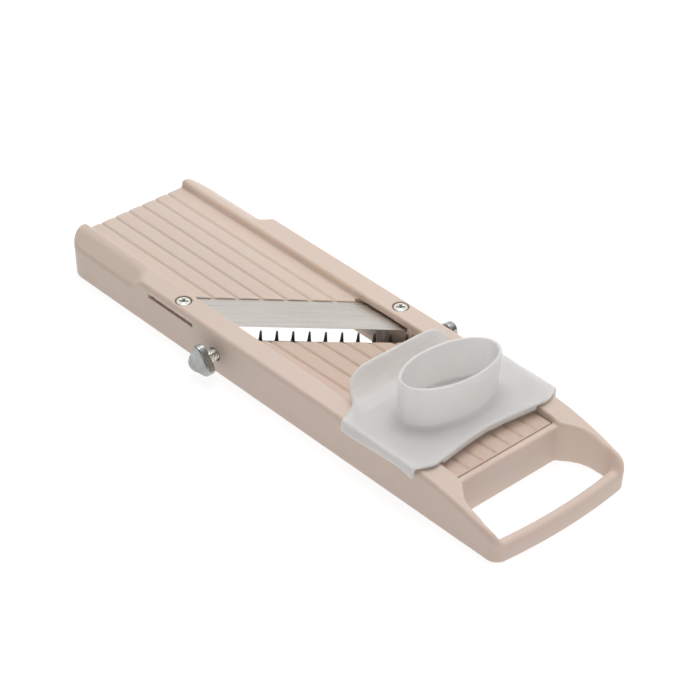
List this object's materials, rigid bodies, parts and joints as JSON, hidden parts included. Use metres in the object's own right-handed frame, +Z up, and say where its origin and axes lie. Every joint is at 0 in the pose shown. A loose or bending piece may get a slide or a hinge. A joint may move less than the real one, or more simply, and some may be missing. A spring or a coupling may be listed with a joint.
{
  "type": "mandoline slicer",
  "caption": "Long flat vegetable slicer with a slanted blade between ribbed plates, a tilting feed plate, a comb held by side thumb screws, a sliding hand guard and a loop handle.",
  "frame": {"origin": "centre of the footprint, on the surface it lies on", "axes": "+X along the slicer towards the loop handle, +Y to the far side, +Z up through the rails' tops"},
  "size_m": [0.316, 0.1124, 0.05],
  "materials": {
    "body_plastic": "satin moulded, pale pink cream",
    "plate_plastic": "satin moulded, pinker cream",
    "guard_plastic": "frosted, milky and slightly see-through",
    "blade_steel": "ground and lightly brushed",
    "comb_steel": "dull, blanked edges",
    "bright_steel": "bright nickel plate",
    "cast_metal": "satin plated casting with polished edges",
    "brass": "turned"
  },
  "bodies": {
    "frame": {"body_frame": "body_plastic", "hinge_rod": "bright_steel", "main_blade": "blade_steel", "blade_screw_near": "bright_steel", "blade_screw_far": "bright_steel", "blade_insert_near": "brass", "blade_insert_far": "brass", "side_bush_near": "brass", "side_bush_far": "brass", "adjuster_bush": "brass"},
    "plate": {"feed_plate": "plate_plastic"},
    "lift": {"adjuster_washer": "bright_steel"},
    "knob": {"adjusting_screw": "bright_steel", "adjusting_knob": "cast_metal"},
    "near_stud": {"side_screw_stud_near": "bright_steel"},
    "near_head": {"side_screw_head_near": "cast_metal"},
    "far_stud": {"side_screw_stud_far": "bright_steel"},
    "far_head": {"side_screw_head_far": "cast_metal"},
    "comb": {"comb_blade": "comb_steel"},
    "guard": {"hand_guard": "guard_plastic"}
  },
  "joints": [
    {"name": "plate_tilt", "type": "hinge", "parent": "frame", "child": "plate", "pos_m": [0.111, 0, 0.0168], "axis": [0, 1, 0], "range_deg": [-1.54, 0.69]},
    {"name": "adjuster_lift", "type": "slide", "parent": "frame", "child": "lift", "axis": [0, 0, 1], "range_m": [-0.00171, 0.00074]},
    {"name": "adjuster_spin", "type": "hinge", "parent": "lift", "child": "knob", "pos_m": [0.046, 0, 0.008], "axis": [0, 0, 1], "range_deg": [-610, 260]},
    {"name": "near_clamp_travel", "type": "slide", "parent": "frame", "child": "near_stud", "axis": [0, -1, 0], "range_m": [-0.00001, 0.00402]},
    {"name": "near_clamp_spin", "type": "hinge", "parent": "near_stud", "child": "near_head", "pos_m": [-0.0387, -0.054, 0.0113], "axis": [0, -1, 0], "range_deg": [0, 1440]},
    {"name": "far_clamp_travel", "type": "slide", "parent": "frame", "child": "far_stud", "axis": [0, 1, 0], "range_m": [-0.00001, 0.00402]},
    {"name": "far_clamp_spin", "type": "hinge", "parent": "far_stud", "child": "far_head", "pos_m": [0.0244, 0.054, 0.0113], "axis": [0, 1, 0], "range_deg": [0, 1440]},
    {"name": "comb_drop", "type": "slide", "parent": "frame", "child": "comb", "axis": [0, 0, -1], "range_m": [0, 0.008]},
    {"name": "guard_slide", "type": "slide", "parent": "frame", "child": "guard", "axis": [-1, 0, 0], "range_m": [0, 0.185]}
  ],
  "couplings": [
    {"joint": "plate_tilt", "follows": "adjuster_spin", "ratio": 0.0024485},
    {"joint": "adjuster_lift", "follows": "adjuster_spin", "m_per_rad": 0.00015915},
    {"joint": "near_clamp_travel", "follows": "near_clamp_spin", "m_per_rad": 0.00015915},
    {"joint": "far_clamp_travel", "follows": "far_clamp_spin", "m_per_rad": 0.00015915}
  ]
}
